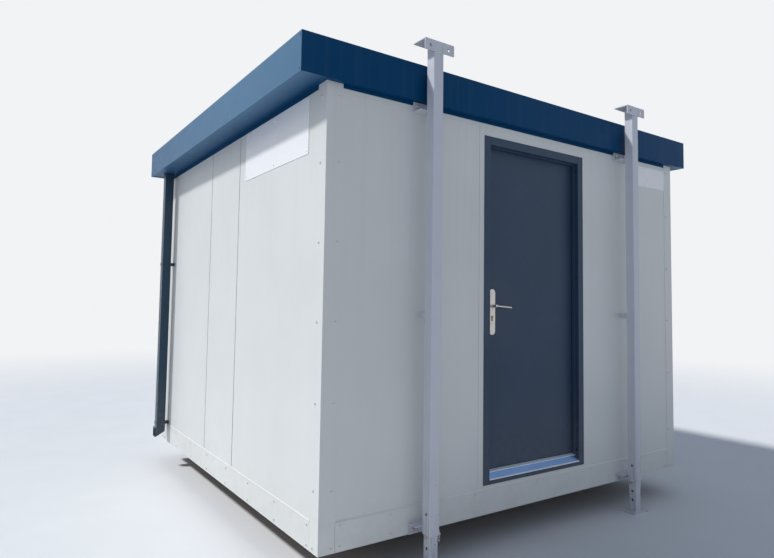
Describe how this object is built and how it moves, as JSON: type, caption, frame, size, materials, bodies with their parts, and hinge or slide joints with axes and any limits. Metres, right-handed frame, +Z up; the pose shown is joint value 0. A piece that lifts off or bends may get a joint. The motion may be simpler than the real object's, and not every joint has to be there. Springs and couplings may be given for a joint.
{
  "type": "site cabin",
  "caption": "Portable flat-roofed site cabin with insulated steel walls, one inward door, a square downpipe and sliding jack legs with lifting angles",
  "frame": {"origin": "on the ground, under the middle of the roof", "axes": "+Z up, door side faces -Y, downpipe end faces -X, +X to the right along the door side"},
  "size_m": [3.355, 3.269, 2.814],
  "materials": {
    "chassis_paint": "dark painted steel",
    "deck_timber": "plain boards",
    "wall_panel": "light grey coated steel, satin",
    "fascia_paint": "dark navy coated steel, satin",
    "ceiling_board": "white faced board",
    "soffit_paint": "dark navy coated steel, satin",
    "roof_paint": "grey coated profiled steel",
    "gutter_steel": "galvanised",
    "downpipe_plastic": "dark navy, satin",
    "door_paint": "anthracite grey, satin",
    "threshold_aluminium": "anodised",
    "hinge_steel": "zinc plated",
    "handle_steel": "satin stainless steel",
    "lock_brass": "satin",
    "leg_paint": "light lilac grey paint, satin",
    "pin_steel": "zinc plated"
  },
  "bodies": {
    "cabin": {"chassis_long_rails": "chassis_paint", "chassis_end_rails": "chassis_paint", "floor_joists": "deck_timber", "floor_deck": "deck_timber", "front_wall_left": "wall_panel", "front_wall_right": "wall_panel", "front_wall_infills": "wall_panel", "left_wall": "wall_panel", "right_wall": "wall_panel", "back_wall": "wall_panel", "corner_trims": "wall_panel", "base_trims": "wall_panel", "eaves_bands": "fascia_paint", "ceiling_panel": "ceiling_board", "soffit_boards": "soffit_paint", "roof_joists": "deck_timber", "roof_sheet": "roof_paint", "gutter": "gutter_steel", "fascia_long": "fascia_paint", "fascia_ends": "fascia_paint", "downpipe": "downpipe_plastic", "downpipe_shoe": "downpipe_plastic", "downpipe_brackets": "downpipe_plastic", "door_jamb_left": "door_paint", "door_jamb_right": "door_paint", "door_head": "door_paint", "door_sill": "door_paint", "door_threshold": "threshold_aluminium", "door_hinge_pins": "hinge_steel", "leg_tubes": "leg_paint", "lifting_angles": "leg_paint", "leg_fixings": "leg_paint"},
    "door": {"door_leaf": "door_paint", "door_hinge_leaves": "hinge_steel", "door_backplates": "handle_steel", "lock_cylinder": "lock_brass"},
    "lever": {"lever_handle": "handle_steel"},
    "leg_front_left": {"jack_leg_front_left": "leg_paint", "leg_pin_front_left": "pin_steel"},
    "leg_front_right": {"jack_leg_front_right": "leg_paint", "leg_pin_front_right": "pin_steel"},
    "leg_back_left": {"jack_leg_back_left": "leg_paint", "leg_pin_back_left": "pin_steel"},
    "leg_back_right": {"jack_leg_back_right": "leg_paint", "leg_pin_back_right": "pin_steel"}
  },
  "joints": [
    {"name": "door_swing", "type": "hinge", "parent": "cabin", "child": "door", "pos_m": [0.42, -1.3827, 1.3765], "axis": [0, 0, -1], "range_deg": [0, 110]},
    {"name": "lever_turn", "type": "hinge", "parent": "door", "child": "lever", "pos_m": [-0.3355, -1.412, 1.392], "axis": [0, 1, 0], "range_deg": [0, 35], "stiffness_Nm_per_rad": 1, "springref_deg": -28.65},
    {"name": "leg_slide_front_left", "type": "slide", "parent": "cabin", "child": "leg_front_left", "axis": [0, 0, -1], "range_m": [0, 0.45]},
    {"name": "leg_slide_front_right", "type": "slide", "parent": "cabin", "child": "leg_front_right", "axis": [0, 0, -1], "range_m": [0, 0.45]},
    {"name": "leg_slide_back_left", "type": "slide", "parent": "cabin", "child": "leg_back_left", "axis": [0, 0, -1], "range_m": [0, 0.45]},
    {"name": "leg_slide_back_right", "type": "slide", "parent": "cabin", "child": "leg_back_right", "axis": [0, 0, -1], "range_m": [0, 0.45]}
  ]
}
